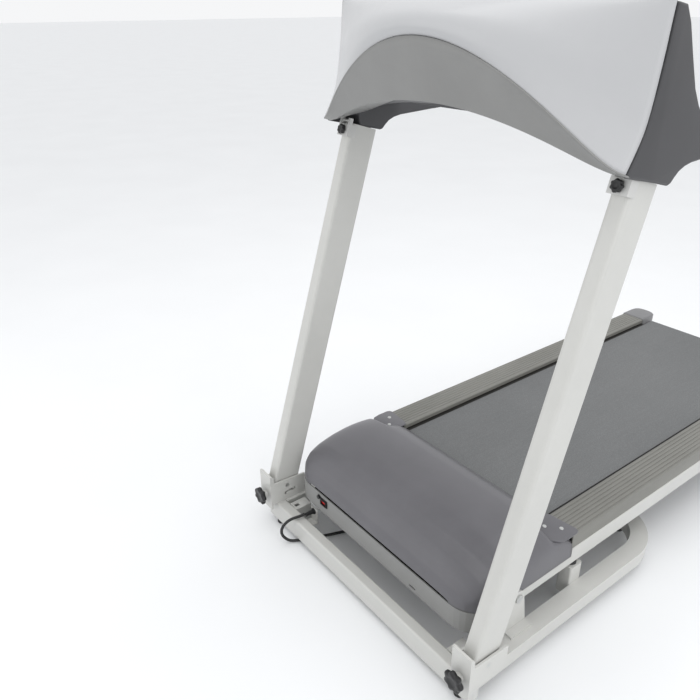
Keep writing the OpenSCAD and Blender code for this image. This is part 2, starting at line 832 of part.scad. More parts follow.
front_tube();
base_loop();
tube_end_caps();
rubber_pads();
upright_brackets();
wheel_housings();
wheel_axles();
transport_wheel_left();
transport_wheel_right();
deck_pivot_plates();
deck_pivot_bolts();
rest_posts();
strut_crossbar();
strut_cylinder();
strut_rod();
gland_plate();
strain_relief();
mains_lead();
lead_coil();
mains_plug();
deck_side_tubes();
deck_crossbars();
deck_board();
deck_cushions();
running_belt();
front_roller();
rear_roller();
roller_axles();
side_rail_left();
side_rail_right();
rear_cap_left();
rear_cap_right();
rear_legs();
motor_hood();
front_cover();
belly_pan();
hood_screws();
drive_motor();
motor_flywheel();
drive_belt();
motor_controller();
switch_bezel();
power_rocker();
reset_button();
upright_left();
upright_right();
upright_pivot_pins();
console_hinge_blocks();
lower_knob_left();
lower_knob_right();
upper_knob_left();
upper_knob_right();
console_shell();
console_panel();
side_arm_left();
side_arm_right();
start_button();
stop_button();
safety_key();
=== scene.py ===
# %% [markdown]
# # A folding treadmill, dressed over its CAD frame
# The treadmill's frame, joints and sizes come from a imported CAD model. This lesson loads that
# model, sets up the camera, light and floor, then gives each piece its finish, and models the
# moulded covers, the lead and the small fittings that a CAD solid only stands in for.

# %% Load the frame
import bpy, bmesh, math
from mathutils import Matrix, Vector


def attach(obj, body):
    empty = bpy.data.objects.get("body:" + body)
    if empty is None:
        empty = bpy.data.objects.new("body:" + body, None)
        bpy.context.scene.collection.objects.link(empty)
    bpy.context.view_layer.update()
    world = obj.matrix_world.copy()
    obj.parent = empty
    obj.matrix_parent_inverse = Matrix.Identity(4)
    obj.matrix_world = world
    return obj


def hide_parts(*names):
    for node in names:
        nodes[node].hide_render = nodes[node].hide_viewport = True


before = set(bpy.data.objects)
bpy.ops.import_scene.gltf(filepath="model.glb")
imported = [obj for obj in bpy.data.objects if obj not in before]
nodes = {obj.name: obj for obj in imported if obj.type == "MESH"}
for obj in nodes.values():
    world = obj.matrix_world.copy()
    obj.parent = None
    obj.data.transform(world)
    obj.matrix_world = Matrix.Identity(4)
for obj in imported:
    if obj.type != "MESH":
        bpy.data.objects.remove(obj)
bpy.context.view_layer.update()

# %% [markdown]
# Two lengths place everything else. Along the machine, positions are easiest to read from the
# rear edge of the motor hood, where the belt starts to show. The belt's top is the other datum.

# %% Datums
MM = 0.001
HOOD_Y = -0.444
BELT_Z = 0.210


def at(x, y, z):
    """A point in metres, from millimetres with Y measured from the hood's rear edge."""
    return Vector((x * MM, y * MM + HOOD_Y, z * MM))


# %% [markdown]
# ## Camera, light and floor
# A product picture is taken from chest height at the corner of the machine. A large soft area
# light above and two weak ones at the sides leave gentle shadows, and a pale floor catches them.

# %% Camera
CAM_AZ, CAM_EL, CAM_ROLL = math.radians(52.70), math.radians(26.40), math.radians(-0.36)
FOCAL = 697 / 700
cam_data = bpy.data.cameras.new("camera")
cam_data.sensor_width = 36
cam_data.lens = 36 * FOCAL
camera = bpy.data.objects.new("camera", cam_data)
bpy.context.scene.collection.objects.link(camera)
back = Vector((math.sin(CAM_AZ) * math.cos(CAM_EL), -math.cos(CAM_AZ) * math.cos(CAM_EL), math.sin(CAM_EL)))
flat_right = Vector((math.cos(CAM_AZ), math.sin(CAM_AZ), 0))
flat_up = back.cross(flat_right)
cam_right = math.cos(CAM_ROLL) * flat_right + math.sin(CAM_ROLL) * flat_up
cam_up = -math.sin(CAM_ROLL) * flat_right + math.cos(CAM_ROLL) * flat_up
turn = Matrix((cam_right, cam_up, back)).transposed().to_4x4()
camera.matrix_world = Matrix.Translation((1.011, HOOD_Y - 1.156, BELT_Z + 1.106)) @ turn
cam_data.clip_end = 240
bpy.context.scene.camera = camera
print("camera at", [round(v, 3) for v in camera.location])


# %% [markdown]
# Three large soft lamps and a bright world light the machine as a product studio does. Large lamps
# make soft shadow edges, and the world fills the shadows so that dark plastic keeps its shape.

# %% Lights
def area_light(name, place, target, size, power):
    data = bpy.data.lights.new(name, "AREA")
    data.shape, data.size, data.energy = "SQUARE", size, power
    lamp = bpy.data.objects.new(name, data)
    bpy.context.scene.collection.objects.link(lamp)
    lamp.location = place
    lamp.rotation_mode = "QUATERNION"
    lamp.rotation_quaternion = (Vector(place) - Vector(target)).to_track_quat("Z", "Y")
    return lamp


area_light("light_top", (0.4, -0.2, 3.4), (0, 0, 0.3), 3.0, 36)
area_light("light_side", (3.2, -0.6, 1.7), (0, 0, 0.5), 2.2, 14)
area_light("light_front", (-1.4, -3.2, 1.6), (0, -0.4, 0.4), 2.2, 8)
world = bpy.data.worlds.new("studio")
world.use_nodes = True
world.node_tree.nodes["Background"].inputs["Color"].default_value = (0.97, 0.975, 0.985, 1)
world.node_tree.nodes["Background"].inputs["Strength"].default_value = 0.95
bpy.context.scene.world = world
bpy.context.scene.view_settings.view_transform = "Standard"

# %% [markdown]
# ## Shader maths
# A small class wraps a node socket, so that a pattern is written as an ordinary expression: each
# operator adds the Math node that does it. Other nodes come from one method.


# %% Socket class
class Sock:
    def __init__(self, tree, out):
        self.tree, self.out = tree, out

    def node(self, kind, settings=None, sockets=None, out=0):
        n = self.tree.nodes.new(kind)
        for key, value in (settings or {}).items():
            if key == "ramp":
                for i, (pos, shade) in enumerate(value):
                    e = n.color_ramp.elements[i] if i < 2 else n.color_ramp.elements.new(pos)
                    e.position, e.color = pos, (*shade, 1)
            else:
                setattr(n, key, value)
        for key, value in (sockets or {}).items():
            if isinstance(value, Sock):
                self.tree.links.new(value.out, n.inputs[key])
            else:
                n.inputs[key].default_value = value
        return Sock(self.tree, n.outputs[out])

    def math(self, op, *others):
        return self.node("ShaderNodeMath", {"operation": op}, dict(enumerate((self, *others))))

    def __add__(self, o): return self.math("ADD", o)
    def __radd__(self, o): return self.math("ADD", o)
    def __sub__(self, o): return self.math("SUBTRACT", o)
    def __mul__(self, o): return self.math("MULTIPLY", o)
    def __rmul__(self, o): return self.math("MULTIPLY", o)

    def __rsub__(self, o):
        flipped = self.math("MULTIPLY", -1.0)
        return flipped.math("ADD", o)

    def clamp(self, low, high):
        return self.node("ShaderNodeMapRange", {}, {"Value": self, "From Min": low, "From Max": high})

    def mix(self, a, b):
        def four(c):
            return c if isinstance(c, Sock) else (*c, 1)
        return self.node("ShaderNodeMix", {"data_type": "RGBA"}, {0: self, 6: four(a), 7: four(b)}, out=2)


class Finish:
    """A material under construction: its point in space, its shader, and its height for the bump."""

    def __init__(self, name):
        self.material = bpy.data.materials.new(name)
        self.material.use_nodes = True
        self.tree = self.material.node_tree
        self.shader = self.tree.nodes["Principled BSDF"]
        coords = self.tree.nodes.new("ShaderNodeTexCoord")
        self.point = Sock(self.tree, coords.outputs["Object"])

    def noise(self, scale, detail=3, rough=0.5, stretch=None):
        where = self.point
        if stretch:
            where = self.point.node("ShaderNodeMapping", {}, {"Vector": self.point, "Scale": stretch})
        return where.node("ShaderNodeTexNoise", {}, {"Vector": where, "Scale": scale, "Detail": detail,
                                                     "Roughness": rough})

    def axis(self, letter):
        return self.point.node("ShaderNodeSeparateXYZ", {}, {0: self.point}, out="XYZ".index(letter))

    def wave(self, scale, direction="X", profile="SIN"):
        return self.point.node("ShaderNodeTexWave", {"bands_direction": direction, "wave_profile": profile},
                               {"Vector": self.point, "Scale": scale})

    def set(self, **values):
        for key, value in values.items():
            name = key.replace("_", " ").title().replace("Ior", "IOR")
            socket = self.shader.inputs[name]
            if isinstance(value, Sock):
                self.tree.links.new(value.out, socket)
            else:
                socket.default_value = (*value, 1) if isinstance(value, tuple) else value
        return self

    def bump(self, height, depth, strength=1.0):
        n = height.node("ShaderNodeBump", {}, {"Height": height, "Distance": depth, "Strength": strength})
        self.tree.links.new(n.out, self.shader.inputs["Normal"])
        return self


# %% [markdown]
# ## Finishes
# Powder coat has a fine orange peel and a slow change of gloss. Moulded plastic has a spark-eroded
# grain. Each finish mixes two near shades by a soft noise, because no real surface is one colour.


# %% Coats, plastics and rubbers
def powder_coat(name, shade, gloss=0.34, dust=0.03):
    f = Finish(name)
    slow, grime = f.noise(3.0, 4), f.noise(26, 5, 0.6)
    darker = tuple(c * (1 - dust * 2.4) for c in shade)
    base = (slow * 0.6 + grime * 0.4).clamp(0.35, 0.7).mix(darker, shade)
    peel = f.noise(750, 1)
    f.set(base_color=base, roughness=grime.clamp(0.2, 0.8) * 0.14 + (gloss - 0.05), coat_weight=0.25,
          coat_roughness=0.18)
    return f.bump(peel, 0.00012, 0.5).material


def moulded(name, shade, gloss=0.42, grain=0.00016, grain_scale=900, spread=0.12):
    f = Finish(name)
    cloud, pits = f.noise(9, 5, 0.6), f.noise(grain_scale, 2, 0.6)
    lighter = tuple(min(1, c * (1 + spread)) for c in shade)
    darker = tuple(c * (1 - spread) for c in shade)
    f.set(base_color=cloud.clamp(0.3, 0.7).mix(darker, lighter),
          roughness=pits * 0.1 + cloud * 0.08 + (gloss - 0.09))
    return f.bump(pits, grain, 0.7).material


def metal(name, shade, gloss=0.3, stretch=(1, 60, 60)):
    f = Finish(name)
    lines, cloud = f.noise(60, 4, 0.6, stretch), f.noise(14, 4)
    dull = tuple(c * 0.8 for c in shade)
    f.set(base_color=(lines * 0.7 + cloud * 0.3).clamp(0.3, 0.7).mix(dull, shade), metallic=1.0,
          roughness=lines * 0.18 + (gloss - 0.08))
    return f.bump(lines, 0.00005, 0.4).material


white_coat = powder_coat("white_powder_coat", (0.60, 0.60, 0.575))
cap_white = moulded("white_cap_plastic", (0.60, 0.60, 0.585), 0.4)
rubber_black = moulded("black_rubber", (0.022, 0.022, 0.023), 0.62, 0.0003, 320)
knob_black = moulded("knob_plastic", (0.012, 0.012, 0.013), 0.36, 0.0002, 700)
gloss_black = moulded("gloss_black", (0.010, 0.010, 0.011), 0.16, 0.00003, 500)
zinc_plate = metal("zinc_plate", (0.66, 0.67, 0.66), 0.34)
bright_steel = metal("bright_steel", (0.72, 0.72, 0.72), 0.2)
cast_alloy = metal("cast_alloy", (0.55, 0.56, 0.57), 0.45, (1, 1, 1))
hood_grey = moulded("hood_plastic", (0.128, 0.126, 0.137), 0.33, 0.00009, 1100, 0.06)
# White plastic given a darker grey as painted shade: the front cover sits under the hood's edge and the
# console's lip faces down, both in shade.
shade_painted_grey = moulded("cover_plastic", (0.25, 0.25, 0.245), 0.42, 0.00012, 900, 0.05)
cap_grey = moulded("cap_plastic", (0.19, 0.19, 0.195), 0.42, 0.00014, 900)
arm_charcoal = moulded("arm_plastic", (0.052, 0.052, 0.056), 0.46, 0.0002, 620)
red_plastic = moulded("red_plastic", (0.50, 0.012, 0.012), 0.28, 0.00004, 800)
green_plastic = moulded("green_plastic", (0.02, 0.30, 0.06), 0.28, 0.00004, 800)
shell_silver = powder_coat("silver_shell", (0.50, 0.505, 0.515), 0.32, 0.015)

# %% [markdown]
# The belt is a woven ply with a fine pebbled top, so its bump mixes a small cell pattern with
# noise, and faint lengthwise scuffs show where feet land. The step rails are ribbed plastic.


# %% Belt, rails and wood
def belt_finish():
    f = Finish("running_belt")
    pebble = f.point.node("ShaderNodeTexVoronoi", {}, {"Vector": f.point, "Scale": 420.0})
    scuff, slow = f.noise(18, 5, 0.6, (7, 0.5, 1)), f.noise(3.5, 3)
    shade = (scuff * 0.5 + slow * 0.5).clamp(0.36, 0.64).mix((0.150, 0.155, 0.157), (0.175, 0.180, 0.182))
    speck = pebble.clamp(0.1, 0.75).mix((0.15, 0.155, 0.155), (1, 1, 1))
    tone = f.point.node("ShaderNodeMix", {"data_type": "RGBA", "blend_type": "MULTIPLY"},
                        {0: 0.35, 6: shade, 7: speck}, out=2)
    f.set(base_color=tone, roughness=scuff * 0.12 + 0.60)
    return f.bump(pebble, 0.0004, 0.55).material


def rail_finish():
    f = Finish("ribbed_rail")
    cloud, pits = f.noise(10, 5, 0.6, (1, 0.25, 1)), f.noise(700, 2)
    f.set(base_color=cloud.clamp(0.3, 0.7).mix((0.17, 0.168, 0.152), (0.23, 0.228, 0.208)),
          roughness=pits * 0.12 + 0.42)
    return f.bump(pits, 0.0002, 0.6).material


def board_finish():
    f = Finish("deck_board")
    grain = f.noise(20, 6, 0.6, (6, 0.6, 20))
    # The near-black is painted shade for the dark gap between the belt and the rails; the grain is the board's
    # own.
    f.set(base_color=grain.clamp(0.3, 0.7).mix((0.010, 0.009, 0.008), (0.022, 0.020, 0.018)),
          roughness=grain * 0.2 + 0.4)
    return f.bump(grain, 0.0002, 0.4).material


belt_rubber, rail_plastic, deck_board_painted_shade = belt_finish(), rail_finish(), board_finish()

# %% [markdown]
# ## Dressing the CAD nodes
# Nodes whose shape is already right keep their mesh and only take a finish.

# %% Finishes by node
FINISH_OF = {
    white_coat: ["front_tube", "base_loop", "upright_brackets", "wheel_housings", "deck_pivot_plates",
                 "rest_posts", "strut_crossbar", "gland_plate", "deck_side_tubes", "deck_crossbars",
                 "rear_legs", "upright_left", "upright_right"],
    cap_white: ["tube_end_caps", "console_hinge_blocks"],
    rubber_black: ["rubber_pads", "transport_wheel_left", "transport_wheel_right", "deck_cushions",
                   "drive_belt", "mains_lead", "lead_coil"],
    knob_black: ["lower_knob_left", "lower_knob_right", "upper_knob_left", "upper_knob_right", "strain_relief",
                 "mains_plug", "switch_bezel", "reset_button", "drive_motor"],
    gloss_black: ["strut_cylinder", "belly_pan"],
    zinc_plate: ["wheel_axles", "deck_pivot_bolts", "roller_axles", "upright_pivot_pins", "hood_screws"],
    bright_steel: ["strut_rod", "front_roller", "rear_roller", "motor_flywheel"],
    cast_alloy: ["motor_controller"],
    hood_grey: ["motor_hood"],
    # The front cover's grey is painted shade on white plastic.
    shade_painted_grey: ["front_cover"],
    cap_grey: ["rear_cap_left", "rear_cap_right"],
    arm_charcoal: ["console_panel", "side_arm_left", "side_arm_right"],
    shell_silver: ["console_shell"],
    red_plastic: ["power_rocker", "stop_button", "safety_key"],
    green_plastic: ["start_button"],
    belt_rubber: ["running_belt"],
    rail_plastic: ["side_rail_left", "side_rail_right"],
    # The deck board's near-black is painted shade in the gap beside the belt.
    deck_board_painted_shade: ["deck_board"],
}
for material, names in FINISH_OF.items():
    for name in names:
        mesh = nodes[name].data
        mesh.materials.clear()
        mesh.materials.append(material)
print("finished", sum(map(len, FINISH_OF.values())), "of", len(nodes), "nodes")

# %% [markdown]
# ## Building blocks for new pieces
# A new piece starts as a bmesh. These helpers turn it into an object, bevel the edges between
# faces that meet sharply, and push out a side view into a solid plate.


# %% Piece helpers
def finish_piece(name, bm, body, material, crease=35, stands_for=(), thickness=None):
    bmesh.ops.recalc_face_normals(bm, faces=bm.faces)
    mesh = bpy.data.meshes.new(name)
    bm.to_mesh(mesh)
    bm.free()
    mesh.shade_smooth()
    mesh.set_sharp_from_angle(angle=math.radians(crease))
    mesh.materials.append(material)
    obj = bpy.data.objects.new(name, mesh)
    bpy.context.scene.collection.objects.link(obj)
    if thickness:
        wall = obj.modifiers.new("wall", "SOLIDIFY")
        wall.thickness, wall.offset = thickness * MM, -1
    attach(obj, body)
    if stands_for:
        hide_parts(*stands_for)
    print(name, "rides on", body, "with", len(mesh.polygons), "faces")
    return obj


def soften(bm, width, segments=2, angle=30):
    edges = [e for e in bm.edges if len(e.link_faces) == 2 and e.calc_face_angle() > math.radians(angle)]
    bmesh.ops.bevel(bm, geom=edges, offset=width * MM, segments=segments, profile=0.5, affect="EDGES",
                    material=-1)


def side_plate(bm, outline, x0, x1):
    """A plate between x0 and x1 with a side view given as (y, z) points."""
    ring = [bm.verts.new(at(x0, y, z)) for y, z in outline]
    face = bm.faces.new(ring)
    grown = bmesh.ops.extrude_face_region(bm, geom=[face])
    moved = [v for v in grown["geom"] if isinstance(v, bmesh.types.BMVert)]
    bmesh.ops.translate(bm, verts=moved, vec=((x1 - x0) * MM, 0, 0))


def slab(bm, low, high, turn=None):
    """A block between two corners, in millimetres, placed by a matrix or from the hood's edge."""
    centre = [(a + b) / 2 for a, b in zip(low, high)]
    size = Matrix.Diagonal([abs(b - a) * MM for a, b in zip(low, high)] + [1])
    if turn is None:
        place = Matrix.Translation(at(*centre))
    else:
        place = turn @ Matrix.Translation([c * MM for c in centre])
    bmesh.ops.create_cube(bm, size=1, matrix=place @ size)


def drum(bm, radius, depth, place, top=None, segments=48):
    bmesh.ops.create_cone(bm, cap_ends=True, segments=segments, radius1=radius * MM,
                          radius2=(radius if top is None else top) * MM, depth=depth * MM, matrix=place)


def ease(t):
    t = min(max(t, 0.0), 1.0)
    return t * t * (3 - 2 * t)


def curve_through(table, y):
    """Smooth value at y of a table of rows that start with their y, by Catmull-Rom."""
    rows = sorted(table)
    i = max(0, min(len(rows) - 2, sum(r[0] <= y for r in rows) - 1))
    p = [rows[max(0, min(len(rows) - 1, i + k))] for k in (-1, 0, 1, 2)]
    t = (y - p[1][0]) / (p[2][0] - p[1][0])
    return [0.5 * (2 * b + (c - a) * t + (2 * a - 5 * b + 4 * c - d) * t * t + (3 * b - a - 3 * c + d) * t ** 3)
            for a, b, c, d in zip(*(r[1:] for r in p))]


# %% [markdown]
# ## The mains lead
# The lead leaves through a strain relief behind the front tube, drops over the tube, and runs
# back along the floor to a tied coil with its plug. It has a fixed length, so the route is drawn
# first and the coil's radius is then solved until the whole line is 1.8 m long.

# %% Lead route
LEAD_LENGTH, LEAD_D = 1.8, 8
ROUTE = [(-252, -352, 80), (-254, -362, 79), (-257, -374, 78), (-261, -388, 76), (-265, -400, 70),
         (-268, -411, 59), (-270, -416, 45), (-269, -415, 31), (-266, -408, 18), (-260, -397, 8),
         (-252, -380, 4.6), (-243, -360, 4.1), (-232, -335, 4.1), (-218, -300, 4.1), (-202, -255, 4.1),
         (-188, -200, 4.1), (-180, -140, 4.1), (-178, -80, 4.1), (-182, -20, 4.1)]
COIL_AT = (-150, 60)
TAIL = [(-118, 111, 12), (-100, 112.5, 12.6), (-86, 108, 13), (-75, 99, 13), (-71, 92, 13), (-70, 88, 13)]


def lead_points(outer):
    pts = [Vector(p) for p in ROUTE]
    turns, climb_at = 4.25, 2.25
    steps = int(turns * 28)
    pts += [Vector((COIL_AT[0] - outer + 3, 18, 4.1)), Vector((COIL_AT[0] - outer + 0.5, 40, 4.1))]
    for k in range(steps + 1):
        n = turns * k / steps
        inward = min(n, climb_at) * 8.15
        outward = max(0.0, n - climb_at - 0.25) * 8.15
        rise = ease((n - climb_at) / 0.25) * 8.2
        r, a = outer - inward + outward, math.pi - n * math.tau
        pts.append(Vector((COIL_AT[0] + r * math.cos(a), COIL_AT[1] + r * math.sin(a), 4.1 + rise)))
    return pts + [Vector(p) for p in TAIL]


def smooth_line(pts, per=4):
    out = []
    for i in range(len(pts) - 1):
        a, b, c, d = pts[max(i - 1, 0)], pts[i], pts[i + 1], pts[min(i + 2, len(pts) - 1)]
        for k in range(per):
            t = k / per
            out.append(0.5 * (2 * b + (c - a) * t + (2 * a - 5 * b + 4 * c - d) * t * t
                              + (3 * b - a - 3 * c + d) * t ** 3))
    return out + [pts[-1]]


def line_length(pts):
    return sum((q - p).length for p, q in zip(pts, pts[1:])) * MM


low_r, high_r = 40.0, 60.0
for _ in range(30):
    mid_r = (low_r + high_r) / 2
    if line_length(smooth_line(lead_points(mid_r))) < LEAD_LENGTH:
        low_r = mid_r
    else:
        high_r = mid_r
lead_line = smooth_line(lead_points(mid_r))
print("lead", round(line_length(lead_line), 4), "m, coil outer radius", round(mid_r, 2))

# %% [markdown]
# The line becomes a curve with a round bevel, which is the simplest way to make a cable. A plastic
# tie holds the coil's turns together.

# %% Lead and tie
lead_curve = bpy.data.curves.new("mains_lead_line", "CURVE")
lead_curve.dimensions = "3D"
lead_curve.bevel_depth, lead_curve.bevel_resolution, lead_curve.use_fill_caps = LEAD_D / 2 * MM, 3, True
spline = lead_curve.splines.new("POLY")
spline.points.add(len(lead_line) - 1)
for point, p in zip(spline.points, lead_line):
    point.co = (*at(*p), 1)
lead_curve.materials.append(rubber_black)
lead = bpy.data.objects.new("mains_lead_cable", lead_curve)
bpy.context.scene.collection.objects.link(lead)
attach(lead, "base")
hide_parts("mains_lead", "lead_coil")
at(*ROUTE[0])

bm = bmesh.new()
slab(bm, (COIL_AT[0] - 2.5, COIL_AT[1] - mid_r - 6.5, 0.2), (COIL_AT[0] + 2.5, COIL_AT[1] - mid_r + 22, 18.0))
soften(bm, 1.8, 2)
finish_piece("lead_tie", bm, "base", knob_black)

# %% [markdown]
# ## The motor hood
# The hood is one thin moulding with a soft crown that falls to the belt. A grid is laid over the
# deck and lifted onto a superellipse, whose width and height come from a table along the deck.
# Near the belt, both sides sink to flat pads, where the tabs are screwed down on the rails.

# %% Hood surface
HOOD_LOW = 162
HOOD_TABLE = [(0, 337, 12), (-12, 337, 22), (-40, 337, 43), (-80, 337, 57), (-140, 337, 62), (-200, 336, 56),
              (-250, 334, 42), (-280, 329, 27), (-300, 318, 10), (-315, 299, -9), (-322, 281, -24),
              (-325, 262, -40)]
PAD_Z = 226


def hood_point(u, y):
    half, crest = curve_through(HOOD_TABLE, y)
    a = math.pi * u
    n = 5.56
    reach = (abs(math.cos(a)) ** n + abs(math.sin(a)) ** n) ** (-1 / n)
    x = half * reach * math.cos(a)
    z = HOOD_LOW + (210 + crest - HOOD_LOW) * reach * math.sin(a)
    sink = ease((y + 78) / 24) * ease((abs(x) - 232) / 26)
    return x, y, min(z, z + (PAD_Z - z) * sink) if z > PAD_Z else z


HOOD_ROWS, HOOD_COLS = 72, 96
bm = bmesh.new()
bmesh.ops.create_grid(bm, x_segments=HOOD_COLS, y_segments=HOOD_ROWS, size=0.5)
for v in bm.verts:
    along = v.co.y + 0.5
    y = -325 * (1 - (1 - along) ** 1.5)
    v.co = at(*hood_point(v.co.x + 0.5, y))
finish_piece("motor_hood_skin", bm, "deck", hood_grey, 50, ["motor_hood"], 3)

# %% [markdown]
# Two flat tabs hold the hood down on the rails' front ends. Each is an outline pushed upward with
# soft edges, and its two screws have a slotted head.

# %% Hood tabs and their screws
for side in (-1, 1):
    bm = bmesh.new()
    outline = [(249, -30), (262, -52), (290, -64), (320, -60), (334, -44), (337.5, -24), (337.5, 8), (334, 16),
               (326, 19), (258, 11), (251, 8), (249, 0)]
    ring = [bm.verts.new(at(side * x, y, 225.6)) for x, y in outline]
    grown = bmesh.ops.extrude_face_region(bm, geom=[bm.faces.new(ring)])
    top = [v for v in grown["geom"] if isinstance(v, bmesh.types.BMVert)]
    bmesh.ops.translate(bm, verts=top, vec=(0, 0, 4 * MM))
    soften(bm, 1.4, 3, 60)
    finish_piece("hood_tab_" + ("left" if side < 0 else "right"), bm, "deck", hood_grey, 50)
bm = bmesh.new()
for side in (-1, 1):
    for x, y in ((277, -34), (306, -9)):
        drum(bm, 5.4, 1.6, Matrix.Translation(at(side * x, y, 230.0)), 4.6, 28)
        slab(bm, (side * x - 3.4, y - 0.7, 230.5), (side * x + 3.4, y + 0.7, 231.1))
finish_piece("hood_tab_screws", bm, "deck", zinc_plate, 30, ["hood_screws"])

# %% [markdown]
# ## The console
# The console is a curved fascia with a turned-under lip. Its cross-section changes evenly from the
# middle to the ends, so a grid is laid along it: one direction runs along the machine's width
# and the other follows the section. The part below the crease faces down and forward, and its
# darker grey is painted shade.

# %% Console fascia
CONSOLE_HALF = 403.4


def console_section(x):
    q = (x / CONSOLE_HALF) ** 2
    lip = 1152 - 98 * q + 17 * q ** 6
    crease = lip + 4 + 110 * max(1 - q, 0) ** 1.2
    rise = 1334 - crease
    return [(-60, lip + 10), (-197 + 58 * q, lip), (-238 + 86 * q, crease),
            (-246 + 128 * q, crease + rise * 0.25), (-232 + 130 * q, crease + rise * 0.6),
            (-185 + 90 * q, crease + rise * 0.9), (-120 + 28 * q, 1334 - 6 * q), (-85, 1333.5)]


def section_point(x, t, first, last):
    pts = console_section(x)[first:last + 1]
    k = min(int(t * (len(pts) - 1)), len(pts) - 2)
    f = t * (len(pts) - 1) - k
    if first == 0:
        return [a + (b - a) * f for a, b in zip(pts[k], pts[k + 1])]
    p = [pts[max(0, min(len(pts) - 1, k + i))] for i in (-1, 0, 1, 2)]
    return [0.5 * (2 * b + (c - a) * f + (2 * a - 5 * b + 4 * c - d) * f * f + (3 * b - a - 3 * c + d) * f ** 3)
            for a, b, c, d in zip(*p)]


def console_skin(name, first, last, rows, inset, material, stands_for=()):
    bm = bmesh.new()
    bmesh.ops.create_grid(bm, x_segments=84, y_segments=rows, size=0.5)
    half = CONSOLE_HALF - inset
    for v in bm.verts:
        x = half * 2 * v.co.x
        y, z = section_point(x, v.co.y + 0.5, first, last)
        v.co = at(x, y, z)
    return finish_piece(name, bm, "console", material, 50, stands_for, 3)


console_skin("console_fascia", 2, 7, 40, 0.0, shell_silver, ["console_shell"])
# The lip's darker grey is painted shade, as it faces down and forward.
console_skin("console_lip", 0, 2, 12, 0.6, shade_painted_grey)

# %% [markdown]
# The fascia and its lip leave the console open below. A tray closes it, from the foot of the
# display panel forward to the lip. It is another grid, with each point between those two lines,
# and a Solidify modifier gives it a wall.

# %% Underside tray
TRAY_WIDTH, TRAY_BACK_Y, TRAY_BACK_Z = 704, 45, 1104
bm = bmesh.new()
bmesh.ops.create_grid(bm, x_segments=70, y_segments=6, size=0.5)
for v in bm.verts:
    x, t = TRAY_WIDTH * v.co.x, v.co.y + 0.5
    lip_y, lip_z = console_section(x)[0]
    v.co = at(x, TRAY_BACK_Y + (lip_y - TRAY_BACK_Y) * t, TRAY_BACK_Z + (lip_z - TRAY_BACK_Z) * t)
finish_piece("console_tray", bm, "console", arm_charcoal, 50, (), 3)

# %% [markdown]
# ## The side arms and handrails
# Each arm is a thick moulding that covers an upright's top and runs back as the handrail. Its side
# view is pushed out to the arm's width, then its long edges are rounded. The arm is a core and an
# outer wall, because the wall hangs lower in front, where it hides the console's hinge.

# %% Side arms
ARM_HALF, ARM_X = 24.4, 379
ARM_BACK = [(-8, 1040), (0, 1048), (12, 1057.5), (28, 1064), (50, 1068), (90, 1070), (150, 1073), (240, 1078),
            (318, 1082), (338, 1087), (349, 1098), (347, 1112), (336, 1120), (318, 1123), (240, 1123),
            (150, 1122),
            (110, 1123), (84, 1129), (60, 1141), (34, 1164), (12, 1192), (-14, 1240), (-40, 1290), (-58, 1314),
            (-84, 1318), (-90, 1260), (-98, 1200), (-112, 1140), (-126, 1106), (-143, 1076)]
WALL_OUTLINE = [(-146, 1068), (-120, 1062), (-70, 1051), (-16, 1037.5)] + ARM_BACK
CORE_OUTLINE = [(-141, 1080), (-84, 1080), (-80, 1056), (-70, 1052), (-16, 1038.5)] + ARM_BACK[:-1]
ARM_WALL_FROM = 17
ARM_INNER_RIM, ARM_OUTER_RIM = 0.36, 0.40


def arm_plate(outline, low, high, is_rounded):
    """One layer of an arm between two distances across the machine, with its own rims rounded."""
    plate = bmesh.new()
    side_plate(plate, outline, low, high)
    rims = [e for e in plate.edges if len(e.link_faces) == 2 and e.calc_face_angle() > 1.4
            and is_rounded(max(abs(v.co.x) for v in e.verts))]
    bmesh.ops.bevel(plate, geom=rims, offset=5 * MM, segments=4, profile=0.5, affect="EDGES", material=-1)
    shape = bpy.data.meshes.new("arm_plate")
    plate.to_mesh(shape)
    plate.free()
    return shape


for side in (-1, 1):
    bm = bmesh.new()
    for outline, x0, x1, is_rounded in (
            (CORE_OUTLINE, -ARM_HALF, ARM_WALL_FROM + 1, lambda x: x < ARM_INNER_RIM),
            (WALL_OUTLINE, ARM_WALL_FROM, ARM_HALF, lambda x: x > ARM_OUTER_RIM)):
        low, high = sorted((side * (ARM_X + x0), side * (ARM_X + x1)))
        layer = arm_plate(outline, low, high, is_rounded)
        bm.from_mesh(layer)
        bpy.data.meshes.remove(layer)
    word = "left" if side < 0 else "right"
    finish_piece("side_arm_skin_" + word, bm, "console", arm_charcoal, 40, ["side_arm_" + word])

# %% [markdown]
# The handrail carries a ribbed rubber sleeve, because bare plastic is slippery when the hand is
# wet. Rings with rounded corners are bridged one after another, and their size swells and falls
# to make the ribs.

# %% Grip sleeves
GRIP_FROM, GRIP_TO, RIBS, GRIP_CORNER = 165, 318, 17, 11
RIB_STEPS = [(0, 1.3), (5.0, 1.6), (6.4, 0.6), (7.6, 0.6)]


def grip_ring(bm, side, y, extra):
    low, high = 1073 + (y - 150) * 0.055 - extra, 1122.6 + extra
    half, r = ARM_HALF + extra, GRIP_CORNER
    ring = []
    for cx, cz, a0 in ((half - r, high - r, 0), (-half + r, high - r, 90), (-half + r, low + r, 180),
                       (half - r, low + r, 270)):
        for k in range(5):
            a = math.radians(a0 + 22.5 * k)
            ring.append(bm.verts.new(at(side * ARM_X + cx + r * math.cos(a), y, cz + r * math.sin(a))))
    return [bm.edges.new((p, q)) for p, q in zip(ring, ring[1:] + ring[:1])], ring


